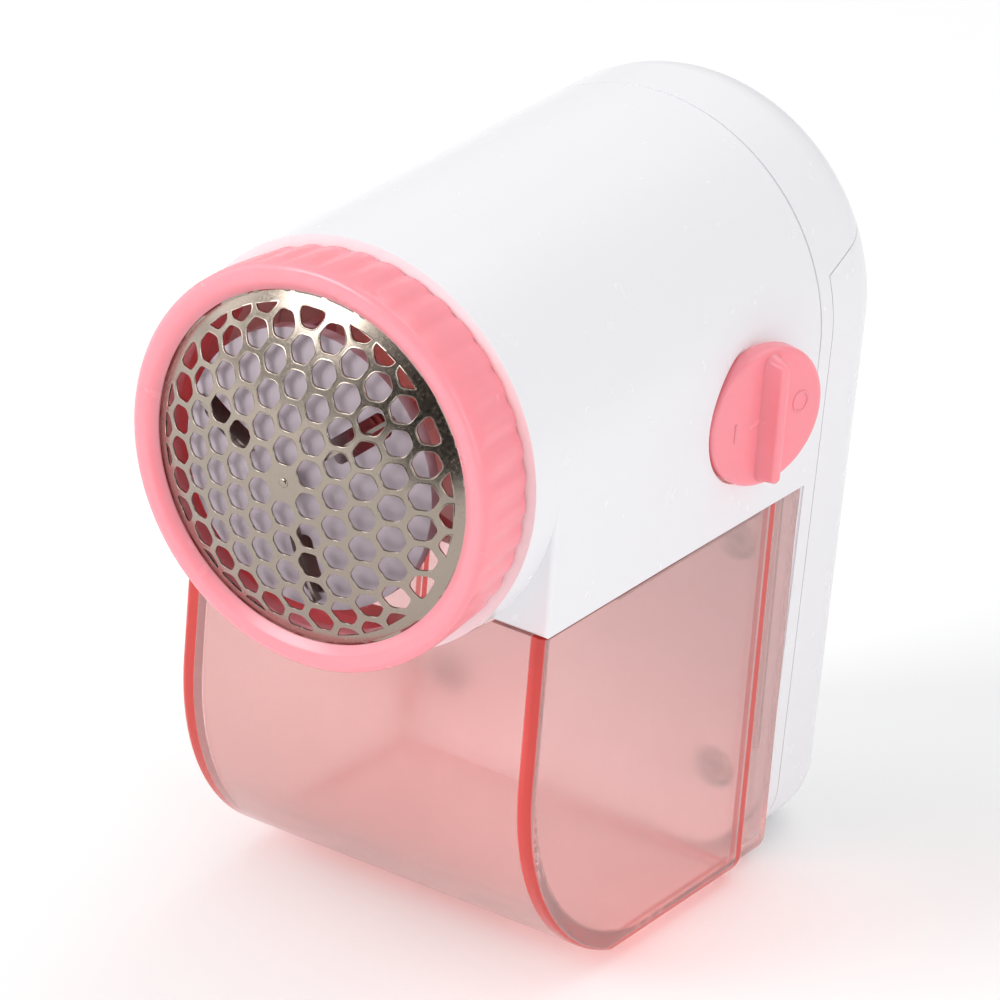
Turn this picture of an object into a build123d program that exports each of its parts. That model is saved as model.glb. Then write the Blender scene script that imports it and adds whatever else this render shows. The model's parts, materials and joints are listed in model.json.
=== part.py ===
"""Battery fabric shaver with a round cutting head, a lint collector and a battery handle.

Millimetres, +Z up. The origin is on the flat base under the battery handle. The cutting head faces -Y,
the switch dial is on the +X side and the battery door is at the back, towards +Y.
"""

import math
import os

from build123d import *

# ---------------------------------------------------------------- driving dimensions
AXIS_Z = 72.0              # height of the barrel, motor and cutter axis above the base
RIM_Y = -75.0              # plane of the foil's rim
RUNNING_GAP = 0.3          # air between pieces that move past each other

# barrel and handle
BARREL_R = 26.0            # outer radius of the barrel at its mouth
SEAM_R = 26.2              # outer radius of the barrel at the seam
WALL = 2.0                 # wall of the two casing halves
MOUTH_Y = RIM_Y + 8.5      # front edge of the round barrel
FACE_Y = RIM_Y + 13.4      # flat front of the barrel's two skirts
FLARE_Y = -35.0            # where the barrel starts to widen towards the seam
SEAM_Y = -4.0              # joint between the casing halves
SEAM_GROOVE = 0.3          # width and depth of the groove that marks the joint
BACK_Y = 13.0              # back of the handle
SKIRT_H = -18.8            # lower edge of the skirts, below the axis
SKIRT_EDGE_R = 0.5         # rounding around the flat front
HANDLE_FRONT_Y = -10.0     # front wall of the battery handle
HANDLE_HALF = 23.3         # half width of the handle where the collector wraps it
HANDLE_LOW_Z = 2.6         # the wrapped part of the handle, just inside the collector's bottom
HANDLE_TOP_Z = 60.3
HANDLE_TAPER = 1.2         # how much each side of the handle leans in towards the base
BASE_CORNER_R = 9.5        # corners of the handle's base, seen from behind
BACK_FILLET_R = 8.5        # rounding around the back of the handle and dome

# lint collector
COLLECTOR_HALF = 26.0
COLLECTOR_WALL = 2.3
COLLECTOR_FRONT_Y = FACE_Y - 0.1
COLLECTOR_TOP_Z = AXIS_Z + SKIRT_H - 0.2
COLLECTOR_CURVE_R = 33.0   # large curve from the front wall to the flat bottom
FLANGE_Y = -10.5           # step in the collector's side walls
FLANGE_STEP = 0.5
LIP_ROOT = 1.2             # height of the locating lips' joint with the side walls
LIP_X, LIP_Y = 22.9, -28.5     # middle of each lip
LIP_T, LIP_LENGTH = 1.0, 32.0
EDGE_R = 1.0               # rounding between the collector's front, bottom and sides
COLLECTOR_CORNER_R = 4.0   # lower corners of the collector, seen from the front

# cutting head
FOIL_R = 22.0
FOIL_SAG = 5.75            # how far the foil's dome stands in front of its rim
FOIL_T = 0.25
FOIL_FLANGE_R = 22.9
HOLE_R = 1.6
HOLE_PITCH = 4.0
HOLE_FIELD_R = 20.6
HOLE_TURN = 2.0            # degrees, the hole columns lean a little
THREAD_LEAD = 9.0
THREAD_STARTS = 3
THREAD_ARC = 100.0         # degrees covered by each thread ridge
BORE_R = 24.4              # threaded bore of the barrel's mouth
SKIRT_R = 23.7             # threaded skirt of the guard ring
RIDGE_T = 0.9              # thread ridge, along the axis
RING_SCALLOPS = 40

# cutter and drive
CARRIER_R = 17.5
BLADES = 3
BLADE_START = 42.0         # degrees, where the first blade rests
BLADE_T = 0.5
DOG = 5.0                  # square drive of the hub
SHAFT_R = 1.0
MOTOR_R = 10.05
MOTOR_FLAT = 7.55
MOTOR_Y = -46.5            # front face of the motor can
CAN_LENGTH = 20.5
CAP_LENGTH = 4.5
BOSS_X, BOSS_H = 15.7, 14.0    # screw bosses of the motor carrier, from the barrel's axis

# switch dial
DIAL_R = 9.1
DIAL_T = 2.4
FINGER_BAR_W = 2.4
FINGER_BAR_H = 2.6         # stands this far out of the dial's face
STEM_SIDE = 3.2            # square end of the dial's stem, in the cam
DIAL_TILT = 15.0           # degrees, the dial faces slightly forward
DIAL_FACE = (28.7, -19.3, 68.4)

# batteries
CELL_R = 7.1
CELL_X = 8.0
CELL_Y = 1.0
CELL_Z = 6.2
CELL_BODY = 49.2
CELL_NUB = 1.0
BAY_FLOOR_Z = 3.8
BAY_ROOF_Z = 60.0
CONTACT_T = 0.4
BAY_WALL_X = 21.2          # side walls of the bay
BAY_WALL_T = 1.8
BAY_LIP_X = 22.7           # their front edges, which meet the front half
BAY_LIP_W = 3.2
BAY_LIP_T = 2.6
TAB_Y = -3.0               # the contacts' tabs pass through the bay's roof here

# battery door
DOOR_FRONT_Y = -1.0
DOOR_TOP_Z = 80.0
DOOR_RISE = 6.0            # the top edge climbs towards the back
DOOR_WALL = 1.8
PART_LINE = 0.15           # visible gap around the door

SCREW_X = 19.2
SCREW_ZS = (14.0, 46.0)

# ---------------------------------------------------------------- planes and axes
HEAD = Plane(origin=(0, RIM_Y, AXIS_Z), x_dir=(1, 0, 0), z_dir=(0, -1, 0))
PROFILE = Plane(origin=(0, RIM_Y, AXIS_Z), x_dir=(1, 0, 0), z_dir=(0, 0, -1))
SPIN = Axis(origin=(0, RIM_Y, AXIS_Z), direction=(0, -1, 0))
TILT = math.radians(DIAL_TILT)
DIAL = Plane(origin=DIAL_FACE, x_dir=(math.sin(TILT), math.cos(TILT), 0),
             z_dir=(math.cos(TILT), -math.sin(TILT), 0))


def section(y):
    """Plane across the barrel at y, its origin on the axis, its normal towards the head."""
    return Plane(origin=(0, y, AXIS_Z), x_dir=(1, 0, 0), z_dir=(0, -1, 0))


def side(x):
    """Plane at x with its own x along +Y and its own y along +Z."""
    return Plane(origin=(x, 0, 0), x_dir=(0, 1, 0), z_dir=(1, 0, 0))


def arch(radius, low):
    """Half circle on straight legs, as lines of the open BuildLine."""
    Polyline((-radius, 0), (-radius, low), (radius, low), (radius, 0))
    CenterArc((0, 0), radius, 0, 180)


def handle_outline(half, bottom, corner):
    """Arch whose legs lean in a little down to the rounded base, as lines of the open BuildLine."""
    CenterArc((0, 0), half, 0, 180)
    low_half = half - HANDLE_TAPER
    Line((half, 0), (low_half, bottom + corner))
    CenterArc((low_half - corner, bottom + corner), corner, -90, 90)
    Line((corner - low_half, bottom), (low_half - corner, bottom))
    CenterArc((corner - low_half, bottom + corner), corner, 180, 90)
    Line((-half, 0), (-low_half, bottom + corner))


def rounded_shell_solid(half, bottom, corner, back, fillet_r):
    """Solid of the rear casing's outside or inside, from the seam to the back."""
    with BuildPart() as block:
        with BuildSketch(section(back)):
            with BuildLine():
                handle_outline(half, bottom, corner)
            make_face()
        extrude(amount=back - SEAM_Y)
        fillet(block.faces().sort_by(Axis.Y)[-1].edges(), fillet_r)
    return block.part


def door_zone(gap):
    """Block behind and below the battery door's edges, grown by gap."""
    with BuildPart() as zone:
        with BuildSketch(side(-40)):
            with BuildLine():
                Polyline((DOOR_FRONT_Y - gap, -5), (DOOR_FRONT_Y - gap, DOOR_TOP_Z + gap),
                         (BACK_Y + 5, DOOR_TOP_Z + DOOR_RISE + gap), (BACK_Y + 5, -5), close=True)
            make_face()
        extrude(amount=80)
        with BuildSketch(Plane.XY.offset(-6)):
            with Locations((0, -2.25)):
                Rectangle(33.4 - 2 * gap, 2 * (5.75 + 2.0) - gap)
        extrude(amount=8.2, mode=Mode.SUBTRACT)
    return zone.part


def thread_ridge(inner, outer, front, turn):
    """One helical ridge about the spin axis, starting front of the rim plane at angle turn."""
    height = THREAD_LEAD * THREAD_ARC / 360
    middle = (inner + outer) / 2
    path = HEAD.offset(front) * Helix(pitch=THREAD_LEAD, height=height, radius=middle)
    start = Plane(origin=path @ 0, x_dir=(1, 0, 0), z_dir=path % 0)
    ridge = sweep(start * Rectangle(outer - inner, RIDGE_T), path=path, is_frenet=True)
    return ridge.rotate(SPIN, turn)


def wire_path(points):
    """Straight runs joined by arcs as large as the runs allow, with their radii printed."""
    runs = [(Vector(b) - Vector(a)) for a, b in zip(points, points[1:])]
    radii = []
    for before, after in zip(runs, runs[1:]):
        half_turn = math.radians(before.get_angle(after)) / 2
        radii.append(0.45 * min(before.length, after.length) / math.tan(half_turn))
    print("wire radii", [round(r, 1) for r in radii])
    return FilletPolyline(*points, radius=radii)


def finish(piece, name):
    """Label a finished piece and write its file."""
    piece.part.label = name
    export_step(piece.part, f"parts/{name}.step")


os.makedirs("parts", exist_ok=True)

# ---------------------------------------------------------------- front casing half
FRONT_RIDGE_F = -13.0      # thread ridges start here, in front of the rim plane
RIDGE_STEP = 360 / THREAD_STARTS

barrel_ridges = [thread_ridge(23.9, BORE_R + 0.4, FRONT_RIDGE_F, RIDGE_STEP * k)
                 for k in range(THREAD_STARTS)]

with BuildPart() as barrel_outside:
    with BuildSketch(section(FLARE_Y)):
        with BuildLine():
            arch(BARREL_R, SKIRT_H)
        make_face()
    extrude(amount=FLARE_Y - FACE_Y)
    for y, radius in ((FLARE_Y, BARREL_R), (SEAM_Y, SEAM_R)):
        with BuildSketch(section(y)):
            with BuildLine():
                arch(radius, SKIRT_H)
            make_face()
    loft()
    fillet(barrel_outside.faces().sort_by(Axis.Y)[0].edges(), SKIRT_EDGE_R)

with BuildPart() as dial_seat:
    with BuildSketch(DIAL.offset(-DIAL_T - 0.2)):
        Circle(DIAL_R + 2.0)
    extrude(amount=-2.4)
    add(barrel_outside.part, mode=Mode.INTERSECT)
    with BuildSketch(DIAL.offset(-DIAL_T - 0.2)):
        Circle(DIAL_R - 0.8)
    extrude(amount=-2.4)

with BuildPart() as front_shell:
    add(barrel_outside.part)
    with BuildSketch(section(FACE_Y + WALL)):
        Circle(BARREL_R)
    extrude(amount=FACE_Y + WALL - MOUTH_Y)
    # hollow barrel, open below
    with BuildSketch(section(FLARE_Y)):
        with BuildLine():
            arch(BARREL_R - WALL, SKIRT_H - 10)
        make_face()
    extrude(amount=FLARE_Y - FACE_Y - WALL, mode=Mode.SUBTRACT)
    for y, radius in ((FLARE_Y, BARREL_R - WALL), (SEAM_Y, SEAM_R - WALL)):
        with BuildSketch(section(y)):
            with BuildLine():
                arch(radius, SKIRT_H - 10)
            make_face()
    loft(mode=Mode.SUBTRACT)
    # round mouth for the guard ring
    with BuildSketch(section(FACE_Y + WALL + 1)):
        Circle(BARREL_R - WALL)
    extrude(amount=40, mode=Mode.SUBTRACT)
    with BuildSketch(section(MOUTH_Y + 5.4)):
        Circle(BORE_R)
    extrude(amount=10, mode=Mode.SUBTRACT)
    # front half of the battery handle
    with BuildSketch(section(SEAM_Y)):
        with Locations((0, (HANDLE_LOW_Z + HANDLE_TOP_Z) / 2 - AXIS_Z)):
            RectangleRounded(2 * HANDLE_HALF, HANDLE_TOP_Z - HANDLE_LOW_Z, 7.4)
    extrude(amount=SEAM_Y - HANDLE_FRONT_Y)
    with BuildSketch(section(SEAM_Y)):
        with Locations((0, (HANDLE_LOW_Z + HANDLE_TOP_Z) / 2 - AXIS_Z)):
            RectangleRounded(2 * (HANDLE_HALF - 1.8), HANDLE_TOP_Z - HANDLE_LOW_Z - 3.6, 5.6)
    extrude(amount=SEAM_Y - HANDLE_FRONT_Y - 1.8, mode=Mode.SUBTRACT)
    # wall between the barrel and the battery bay
    with BuildSketch(section(HANDLE_FRONT_Y + 1.8)):
        with Locations((0, (SKIRT_H + HANDLE_TOP_Z - AXIS_Z) / 2)):
            Rectangle(50.8, HANDLE_TOP_Z - AXIS_Z - SKIRT_H)
    extrude(amount=1.8)
    # screw bosses of the casing halves
    screw_points = [(x, z - AXIS_Z) for x in (-SCREW_X, SCREW_X) for z in SCREW_ZS]
    with BuildSketch(section(SEAM_Y - 0.1)):
        with Locations(*screw_points):
            Circle(3.6)
    extrude(amount=SEAM_Y - 0.1 - HANDLE_FRONT_Y - 0.5)
    with BuildSketch(section(SEAM_Y)):
        with Locations(*screw_points):
            Circle(1.5)
    extrude(amount=10, mode=Mode.SUBTRACT)
    with BuildSketch(section(HANDLE_FRONT_Y + 2.2)):
        with Locations(*screw_points):
            Circle(2.8)
    extrude(amount=10, mode=Mode.SUBTRACT)
    # guide grooves for the collector's ribs
    with BuildSketch(Plane.XY.offset(0)):
        with Locations((-HANDLE_HALF, -7.0), (HANDLE_HALF, -7.0)):
            Rectangle(1.8, 1.6)
    extrude(amount=AXIS_Z + SKIRT_H, mode=Mode.SUBTRACT)
    # bosses for the motor carrier
    with BuildSketch(section(-37.0)):
        with Locations((-BOSS_X, BOSS_H), (BOSS_X, BOSS_H)):
            Circle(3.0)
    extrude(amount=9.4)
    with BuildSketch(section(-37.0)):
        with Locations((-BOSS_X, BOSS_H), (BOSS_X, BOSS_H)):
            Circle(1.0)
    extrude(amount=10, mode=Mode.SUBTRACT)
    # seat of the switch dial
    add(dial_seat.part)
    with BuildSketch(DIAL.offset(-DIAL_T - 0.2)):
        Circle(DIAL_R + 0.35)
    extrude(amount=10, mode=Mode.SUBTRACT)
    with BuildSketch(DIAL.offset(-10)):
        Circle(3.05)
    extrude(amount=10, mode=Mode.SUBTRACT)
    for ridge in barrel_ridges:
        add(ridge)
finish(front_shell, "front_shell")

# ---------------------------------------------------------------- rear casing half and door
rear_outside = rounded_shell_solid(SEAM_R, -AXIS_Z, BASE_CORNER_R, BACK_Y, BACK_FILLET_R)
rear_inside = rounded_shell_solid(SEAM_R - DOOR_WALL, DOOR_WALL - AXIS_Z, BASE_CORNER_R - DOOR_WALL,
                                  BACK_Y - DOOR_WALL, BACK_FILLET_R - DOOR_WALL)

with BuildPart() as rear_shell:
    add(rear_outside)
    add(rear_inside, mode=Mode.SUBTRACT)
    add(door_zone(PART_LINE), mode=Mode.SUBTRACT)
    # open battery bay inside the door: side walls, floor and roof
    with BuildSketch(Plane.XY.offset(BASE_CORNER_R)):
        with Locations((-BAY_WALL_X, 0.0), (BAY_WALL_X, 0.0)):
            Rectangle(BAY_WALL_T, 2 * -SEAM_Y)
        with Locations((-BAY_LIP_X, SEAM_Y + BAY_LIP_T / 2), (BAY_LIP_X, SEAM_Y + BAY_LIP_T / 2)):
            Rectangle(BAY_LIP_W, BAY_LIP_T)
    extrude(amount=BAY_ROOF_Z - BASE_CORNER_R)
    with BuildSketch(Plane.XY.offset(0.5)):
        with Locations((0, 0.7)):
            Rectangle(32.0, 9.4)
    extrude(amount=BAY_FLOOR_Z - 0.5)
    with BuildSketch(Plane.XY.offset(BAY_ROOF_Z)):
        with Locations((0, SEAM_Y + BAY_LIP_T / 2)):
            Rectangle(2 * (BAY_LIP_X + BAY_LIP_W / 2) + 1.4, BAY_LIP_T)
        with Locations((0, 0.5)):
            Rectangle(2 * BAY_WALL_X + 1.2, 9.0)
        with Locations((0, 2.0)):
            Rectangle(40.0, 12.0)
    extrude(amount=BAY_WALL_T)
    # screw pillars
    with BuildSketch(section(4.0)):
        with Locations(*screw_points):
            Circle(3.0)
    extrude(amount=4.0 - SEAM_Y)
    with BuildSketch(section(3.0)):
        with Locations(*screw_points):
            Circle(1.2)
    extrude(amount=10, mode=Mode.SUBTRACT)
    # slots for the battery contacts' tabs
    with BuildSketch(Plane.XY.offset(BAY_ROOF_Z - 1)):
        with Locations((-CELL_X, TAB_Y), (CELL_X, TAB_Y)):
            Rectangle(3.4, 0.8)
    extrude(amount=4, mode=Mode.SUBTRACT)
    # fine groove along the seam
    with BuildSketch(section(SEAM_Y + SEAM_GROOVE)):
        Rectangle(4 * SEAM_R, 4 * AXIS_Z)
        with BuildLine():
            handle_outline(SEAM_R - SEAM_GROOVE, SEAM_GROOVE - AXIS_Z, BASE_CORNER_R - SEAM_GROOVE)
        make_face(mode=Mode.SUBTRACT)
    extrude(amount=SEAM_GROOVE, mode=Mode.SUBTRACT)
finish(rear_shell, "rear_shell")

with BuildPart() as battery_door:
    add(rear_outside)
    add(rear_inside, mode=Mode.SUBTRACT)
    add(door_zone(0), mode=Mode.INTERSECT)
    # thumb grooves across the back
    with BuildSketch(Plane.XZ.offset(-BACK_Y - 1)):
        with GridLocations(0, 3.0, 1, 5):
            with Locations((0, 62.0)):
                RectangleRounded(18, 1.2, 0.59)
    extrude(amount=1.5, mode=Mode.SUBTRACT)
finish(battery_door, "battery_door")

# ---------------------------------------------------------------- lint collector
def collector_solid(shrink, top, rear):
    """Solid of the collector's outside (shrink 0) or inside (shrink = wall)."""
    half = COLLECTOR_HALF - shrink
    front = COLLECTOR_FRONT_Y + shrink
    radius = COLLECTOR_CURVE_R - shrink
    centre = COLLECTOR_FRONT_Y + COLLECTOR_CURVE_R
    with BuildPart() as block:
        with BuildSketch(side(-half)):
            with BuildLine():
                Line((rear, shrink), (centre, shrink))
                CenterArc((centre, COLLECTOR_CURVE_R), radius, 180, 90)
                Polyline((front, COLLECTOR_CURVE_R), (front, top), (rear, top), (rear, shrink))
            make_face()
        extrude(amount=2 * half)
        front_edges = block.faces().filter_by(Axis.X).edges().filter_by(
            lambda edge: edge.center().Y < FLANGE_Y - 1 and edge.center().Z < top - 0.5)
        fillet(front_edges, EDGE_R - 0.3 * shrink)
        corner = COLLECTOR_CORNER_R - shrink
        with BuildSketch(Plane.XZ.offset(-rear - 1)):
            with Locations((0, shrink + 50)):
                RectangleRounded(2 * half, 100, corner)
        extrude(amount=100, mode=Mode.INTERSECT)
    return block.part


with BuildPart() as lint_collector:
    add(collector_solid(0, COLLECTOR_TOP_Z, SEAM_Y - 0.2))
    add(collector_solid(COLLECTOR_WALL, COLLECTOR_TOP_Z + 5, SEAM_Y + 5), mode=Mode.SUBTRACT)
    # thinner flange that wraps the handle
    with BuildSketch(Plane.XZ.offset(-FLANGE_Y)):
        Rectangle(80, 200)
        with Locations((0, FLANGE_STEP + 50)):
            RectangleRounded(2 * (COLLECTOR_HALF - FLANGE_STEP), 100, COLLECTOR_CORNER_R - FLANGE_STEP,
                             mode=Mode.SUBTRACT)
    extrude(amount=-10, mode=Mode.SUBTRACT)
    # notch under the round mouth of the barrel
    with BuildSketch(section(FLANGE_Y - 30)):
        Circle(BARREL_R + RUNNING_GAP)
    extrude(amount=40, mode=Mode.SUBTRACT)
    # locating lips inside the barrel's skirts
    with BuildSketch(Plane.XY.offset(COLLECTOR_TOP_Z - LIP_ROOT)):
        with Locations((-LIP_X, LIP_Y), (LIP_X, LIP_Y)):
            Rectangle(LIP_T, LIP_LENGTH)
    extrude(amount=LIP_ROOT + 2.6)
    with BuildSketch(Plane.XY.offset(COLLECTOR_TOP_Z - LIP_ROOT)):
        with Locations((-LIP_X - 0.4, LIP_Y), (LIP_X + 0.4, LIP_Y)):
            Rectangle(LIP_T, LIP_LENGTH)
    extrude(amount=LIP_ROOT)
    # guide ribs that run in the handle's grooves
    with BuildSketch(Plane.XY.offset(COLLECTOR_TOP_Z - 36)):
        with Locations((-23.4, -7.0), (23.4, -7.0)):
            Rectangle(1.0, 0.9)
    extrude(amount=36)
    # grip dots under the front of the bin
    with BuildSketch(Plane.XY.offset(-1)):
        for x in (-1, 1):
            with Locations((x * 13.0, -24.0)):
                with HexLocations(1.3, 3, 3):
                    Circle(0.8)
    extrude(amount=1.25, mode=Mode.SUBTRACT)
finish(lint_collector, "lint_collector")

# ---------------------------------------------------------------- cutting head
SPHERE_R = (FOIL_R ** 2 + FOIL_SAG ** 2) / (2 * FOIL_SAG)
SPHERE_F = FOIL_SAG - SPHERE_R     # centre of the foil's sphere, behind the rim plane


def on_sphere(r, radius):
    """Height in front of the rim plane of a sphere of this radius, at distance r from the axis."""
    return SPHERE_F + math.sqrt(radius ** 2 - r ** 2)


def hole_points():
    """Centres of the foil's holes: upright columns, every other one half a pitch higher, none in the middle."""
    points = []
    column_step = HOLE_PITCH * math.sqrt(3) / 2
    for column in range(-6, 7):
        for row in range(-6, 7):
            point = Vector(column_step * column, HOLE_PITCH * (row + 0.5 * (column % 2)))
            if 1 < point.length < HOLE_FIELD_R + 1.1:
                points.append(point.rotate(Axis.Z, HOLE_TURN))
    return points


with BuildPart() as foil:
    inner_r = SPHERE_R - FOIL_T
    inner_edge = math.sqrt(inner_r ** 2 - (FOIL_T + SPHERE_F) ** 2)
    with BuildSketch(PROFILE):
        with BuildLine():
            ThreePointArc((0, FOIL_SAG), (FOIL_R / 2, on_sphere(FOIL_R / 2, SPHERE_R)), (FOIL_R, 0))
            Polyline((FOIL_R, 0), (FOIL_FLANGE_R, 0), (FOIL_FLANGE_R, -FOIL_T), (inner_edge, -FOIL_T))
            ThreePointArc((inner_edge, -FOIL_T), (inner_edge / 2, on_sphere(inner_edge / 2, inner_r)),
                          (0, FOIL_SAG - FOIL_T))
            Line((0, FOIL_SAG - FOIL_T), (0, FOIL_SAG))
        make_face()
    revolve(axis=SPIN)
    with BuildSketch(HEAD.offset(-2)):
        with Locations(*hole_points()):
            Circle(HOLE_R)
        Circle(HOLE_FIELD_R, mode=Mode.INTERSECT)
    extrude(amount=10, mode=Mode.SUBTRACT)
    # small pip in the middle
    with BuildSketch(HEAD.offset(FOIL_SAG - FOIL_T)):
        Circle(0.6)
    extrude(amount=FOIL_T + 0.2)
finish(foil, "foil")

with BuildPart() as foil_frame:
    with BuildSketch(PROFILE):
        with BuildLine():
            Polyline((20.9, -0.75), (21.4, -FOIL_T), (FOIL_FLANGE_R, -FOIL_T), (FOIL_FLANGE_R, -2.4),
                     (20.9, -2.4), close=True)
        make_face()
    revolve(axis=SPIN)
finish(foil_frame, "foil_frame")

ring_ridges = [thread_ridge(SKIRT_R - 0.4, 24.2, FRONT_RIDGE_F, RIDGE_STEP * (k + 0.5))
               for k in range(THREAD_STARTS)]

with BuildPart() as guard_ring:
    with BuildSketch(PROFILE):
        with BuildLine():
            Line((22.15, 0.12), (22.15, 0.5))
            ThreePointArc((22.15, 0.5), (23.3, 1.02), (24.2, 1.3))
            ThreePointArc((24.2, 1.3), (25.05, 0.75), (25.3, -0.7))
            Polyline((25.3, -0.7), (24.9, -8.35), (SKIRT_R, -8.35), (SKIRT_R, -13.4), (22.4, -13.4),
                     (22.4, -8.8), (23.1, -7.8), (23.1, -3.9), (22.4, -3.6), (22.4, -2.7), (23.1, -2.7),
                     (23.1, 0.12), (22.15, 0.12))
        make_face()
    revolve(axis=SPIN)
    with BuildSketch(HEAD.offset(-0.7)):
        with PolarLocations(26.0, RING_SCALLOPS):
            Circle(1.1)
    extrude(amount=-9, mode=Mode.SUBTRACT)
    for ridge in ring_ridges:
        add(ridge)
finish(guard_ring, "guard_ring")

# ---------------------------------------------------------------- cutter
CARRIER_FRONT_R = SPHERE_R - FOIL_T - 1.2   # sphere under the blades
BLADE_EDGE_R = SPHERE_R - FOIL_T - 0.3
BOSS_BACK_F = -7.5
SOCKET = DOG + 0.16
WINDOW_IN, WINDOW_OUT = 7.0, 15.0


def blade_solids(radius_in, radius_out):
    """Upright blades, each cut out of a radial plate, evenly spaced about the spin axis."""
    base_r = CARRIER_FRONT_R - 1.8
    points_in = (radius_in, on_sphere(radius_in, base_r))
    points_out = (radius_out, on_sphere(radius_out, base_r))
    with BuildPart() as blades:
        with BuildSketch(PROFILE):
            with BuildLine():
                middle = (radius_in + radius_out) / 2
                top_in = (radius_in, on_sphere(radius_in, BLADE_EDGE_R))
                top_out = (radius_out, on_sphere(radius_out, BLADE_EDGE_R))
                ThreePointArc(top_in, (middle, on_sphere(middle, BLADE_EDGE_R)), top_out)
                Polyline(top_out, points_out, points_in, top_in)
            make_face()
        extrude(amount=BLADE_T / 2, both=True)
    return [blades.part.rotate(SPIN, BLADE_START + 360 / BLADES * k) for k in range(BLADES)]


with BuildPart() as cutter_blades:
    for blade in blade_solids(6.0, 16.0):
        add(blade)
finish(cutter_blades, "cutter_blades")

with BuildPart() as blade_carrier:
    with BuildSketch(PROFILE):
        with BuildLine():
            rim = on_sphere(CARRIER_R, CARRIER_FRONT_R)
            ThreePointArc((0, on_sphere(0, CARRIER_FRONT_R)), (9, on_sphere(9, CARRIER_FRONT_R)),
                          (CARRIER_R, rim))
            Polyline((CARRIER_R, rim), (CARRIER_R, rim - 1.8), (5.2, rim - 1.0), (5.2, BOSS_BACK_F),
                     (0, BOSS_BACK_F), (0, on_sphere(0, CARRIER_FRONT_R)))
        make_face()
    revolve(axis=SPIN)
    # lint fins behind the disc
    with BuildSketch(HEAD.offset(BOSS_BACK_F + 0.5)):
        with PolarLocations(10.6, 2 * BLADES, start_angle=BLADE_START):
            Rectangle(12.6, 1.2)
    extrude(amount=on_sphere(CARRIER_R, CARRIER_FRONT_R) - 0.8 - BOSS_BACK_F - 0.5)
    # windows round the blades
    with BuildSketch(HEAD):
        with PolarLocations(0, BLADES, start_angle=BLADE_START):
            with Locations(((WINDOW_IN + WINDOW_OUT) / 2, 0)):
                RectangleRounded(WINDOW_OUT - WINDOW_IN, 3.2, 0.8)
    extrude(amount=10, both=True, mode=Mode.SUBTRACT)
    # square socket for the hub's dog
    with BuildSketch(HEAD.offset(BOSS_BACK_F)):
        Rectangle(SOCKET, SOCKET)
    extrude(amount=7.6, mode=Mode.SUBTRACT)
    for blade in blade_solids(6.0, 16.0):
        add(blade, mode=Mode.SUBTRACT)
finish(blade_carrier, "blade_carrier")

# ---------------------------------------------------------------- drive
HUB_FLANGE_F = -13.3
SHAFT_END_F = -5.0

with BuildPart() as drive_hub:
    with BuildSketch(HEAD.offset(HUB_FLANGE_F)):
        Rectangle(DOG, DOG)
    extrude(amount=-1.2 - HUB_FLANGE_F)
    chamfer(drive_hub.faces().sort_by(Axis.Y)[0].edges(), 0.5)
    with BuildSketch(HEAD.offset(HUB_FLANGE_F)):
        Circle(5.6)
    extrude(amount=-1.4)
    with BuildSketch(HEAD.offset(HUB_FLANGE_F - 1.4)):
        Circle(3.4)
    extrude(amount=-6.0)
    with BuildSketch(HEAD.offset(HUB_FLANGE_F - 7.4)):
        Circle(SHAFT_R)
    extrude(amount=SHAFT_END_F - HUB_FLANGE_F + 7.4, mode=Mode.SUBTRACT)
finish(drive_hub, "drive_hub")

with BuildPart() as pressure_spring:
    SPRING_R, SPRING_WIRE, SPRING_TURNS = 4.4, 0.25, 4
    spring_length = BOSS_BACK_F - HUB_FLANGE_F - 2 * SPRING_WIRE - 0.04
    spring_path = HEAD.offset(HUB_FLANGE_F + SPRING_WIRE + 0.02) * Helix(
        pitch=spring_length / SPRING_TURNS, height=spring_length, radius=SPRING_R)
    with BuildSketch(Plane(origin=spring_path @ 0, z_dir=spring_path % 0)):
        Circle(SPRING_WIRE)
    sweep(path=spring_path, is_frenet=True)
finish(pressure_spring, "pressure_spring")

with BuildPart() as motor_shaft:
    with BuildSketch(HEAD.offset(-54.5)):
        Circle(SHAFT_R)
    extrude(amount=54.5 + SHAFT_END_F)
finish(motor_shaft, "motor_shaft")


def motor_outline(radius, flat):
    """Round motor body with a flat above and below."""
    Circle(radius)
    Rectangle(4 * radius, 2 * flat, mode=Mode.INTERSECT)


CAN_BACK_Y = MOTOR_Y + CAN_LENGTH
CAP_BACK_Y = CAN_BACK_Y + CAP_LENGTH

with BuildPart() as motor_can:
    with BuildSketch(section(CAN_BACK_Y)):
        motor_outline(MOTOR_R, MOTOR_FLAT)
    extrude(amount=CAN_LENGTH)
    with BuildSketch(section(CAN_BACK_Y)):
        motor_outline(MOTOR_R - 0.8, MOTOR_FLAT - 0.8)
    extrude(amount=CAN_LENGTH - 1.0, mode=Mode.SUBTRACT)
    with BuildSketch(section(MOTOR_Y)):
        Circle(3.0)
    extrude(amount=1.6)
    with BuildSketch(section(CAN_BACK_Y)):
        Circle(SHAFT_R + 0.8)
        with Locations((-8.0, 0), (8.0, 0)):
            Circle(0.8)
    extrude(amount=60, mode=Mode.SUBTRACT)
finish(motor_can, "motor_can")

with BuildPart() as motor_bushes:
    for back, length in ((MOTOR_Y + 1.0, 2.4), (CAP_BACK_Y - 0.2, 2.4)):
        with BuildSketch(section(back)):
            Circle(SHAFT_R + 0.8)
            Circle(SHAFT_R + 0.03, mode=Mode.SUBTRACT)
        extrude(amount=length)
finish(motor_bushes, "motor_bushes")

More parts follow.
